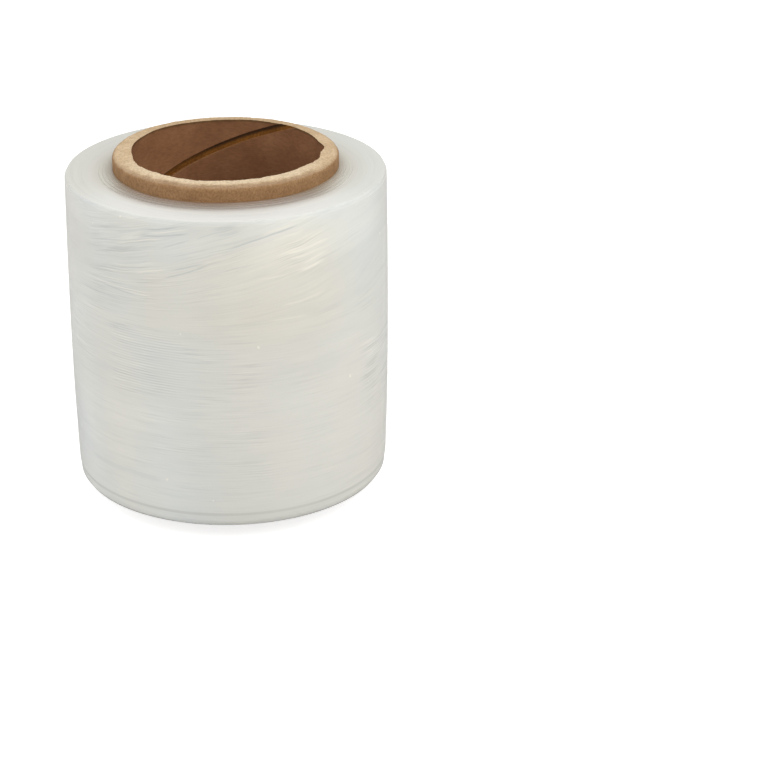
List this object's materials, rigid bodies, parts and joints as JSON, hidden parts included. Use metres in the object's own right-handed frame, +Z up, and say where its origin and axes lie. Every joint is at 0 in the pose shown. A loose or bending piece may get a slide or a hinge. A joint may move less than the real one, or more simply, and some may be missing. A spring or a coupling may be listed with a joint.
{
  "type": "stretch wrap roll",
  "caption": "Narrow roll of clear stretch film wound on a spiral-wound paper core that stands out past the film at both ends.",
  "frame": {"origin": "on the core's axis, in the plane that the core's lower end stands on", "axes": "+Z up along the core's axis; the pictured side faces -Y"},
  "size_m": [0.128, 0.128, 0.142],
  "materials": {
    "core_board": "matt brown paper board with a fuzzy pale cut end",
    "stretch_film": "milky clear film wound tight, satin to glossy"
  },
  "bodies": {
    "root": {"core_tube": "core_board", "film_roll": "stretch_film"}
  },
  "joints": []
}
